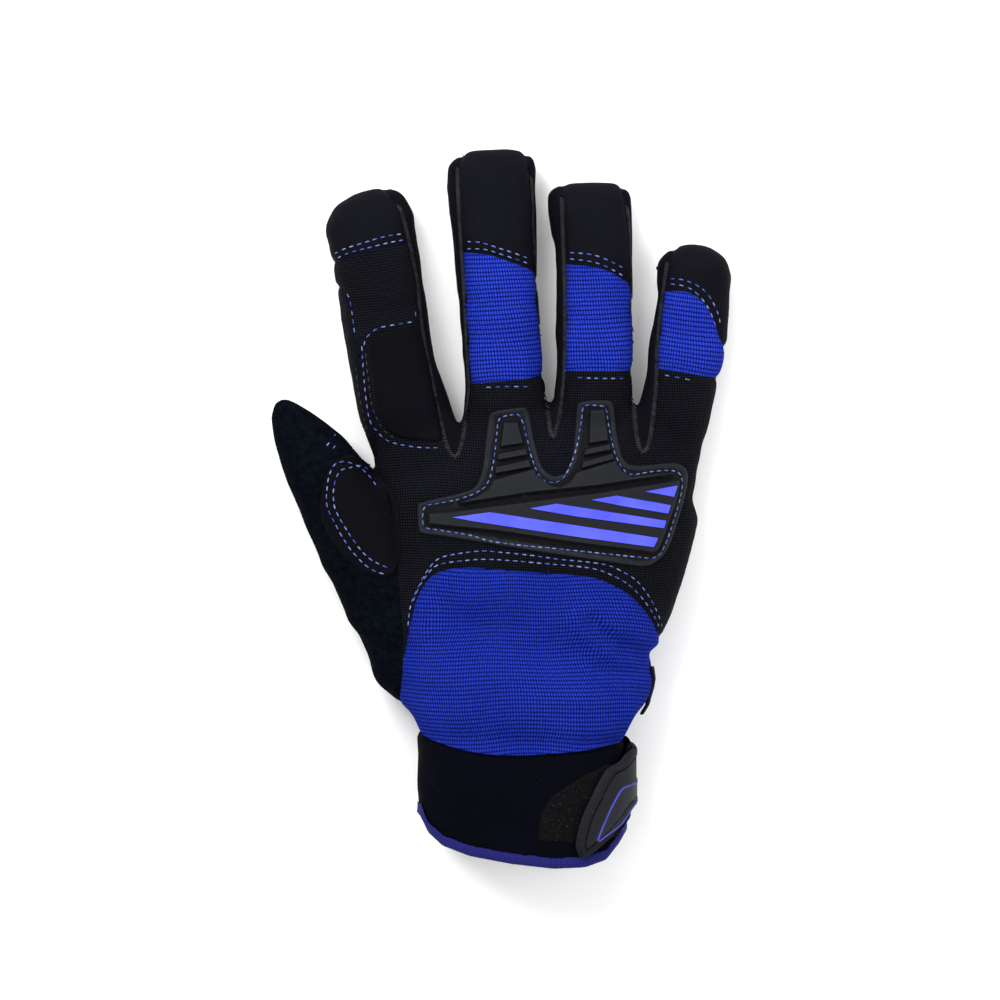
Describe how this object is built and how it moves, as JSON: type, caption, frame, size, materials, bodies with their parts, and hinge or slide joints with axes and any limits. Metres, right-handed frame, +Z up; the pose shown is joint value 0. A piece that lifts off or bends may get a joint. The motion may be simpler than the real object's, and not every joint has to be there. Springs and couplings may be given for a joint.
{
  "type": "mechanic glove",
  "caption": "Padded work glove with leather palm, knit back, moulded knuckle guard and hook-and-loop wrist cuff; a hand goes in at the wrist.",
  "frame": {"origin": "middle of the palm's flat underside, on the surface that the glove lies on", "axes": "+Y from the wrist to the fingertips, +X toward the little finger, +Z up out of the back of the hand"},
  "size_m": [0.1564, 0.2454, 0.0437],
  "materials": {
    "black_leather": "matte synthetic leather with a fine grain",
    "patch_leather": "smooth synthetic leather patch with stitched edges",
    "gusset_knit": "stretch fabric between the fingers",
    "thumb_fleece": "short dark fleece",
    "black_knit": "ribbed black stretch knit",
    "blue_knit": "ribbed blue stretch knit",
    "guard_rubber": "moulded dark grey rubber",
    "blue_rubber": "violet blue rubber inlay",
    "neoprene": "black neoprene with a smooth knitted face",
    "blue_binding": "blue ribbed binding tape",
    "loop_pile": "loop pile of a hook-and-loop closure",
    "side_tag": "plain dark woven tag"
  },
  "bodies": {
    "root": {"palm_leather": "black_leather", "thumb_leather": "black_leather", "index_side_strip": "black_leather", "index_tip": "black_leather", "middle_tip": "black_leather", "ring_tip": "black_leather", "little_tip": "black_leather", "fourchette_index_middle": "gusset_knit", "fourchette_middle_ring": "gusset_knit", "fourchette_ring_little": "gusset_knit", "index_patch": "patch_leather", "thumb_saddle_patch": "patch_leather", "thumb_fleece": "thumb_fleece", "back_knit": "black_knit", "wrist_knit": "blue_knit", "middle_knit": "blue_knit", "ring_knit": "blue_knit", "little_knit": "blue_knit", "knuckle_guard": "guard_rubber", "guard_stripe_1": "blue_rubber", "guard_stripe_2": "blue_rubber", "guard_stripe_3": "blue_rubber", "guard_stripe_4": "blue_rubber", "cuff": "neoprene", "cuff_binding": "blue_binding", "loop_patch": "loop_pile", "closure_strap": "neoprene", "closure_tab": "guard_rubber", "tab_line": "blue_rubber", "side_tag": "side_tag"}
  },
  "joints": []
}
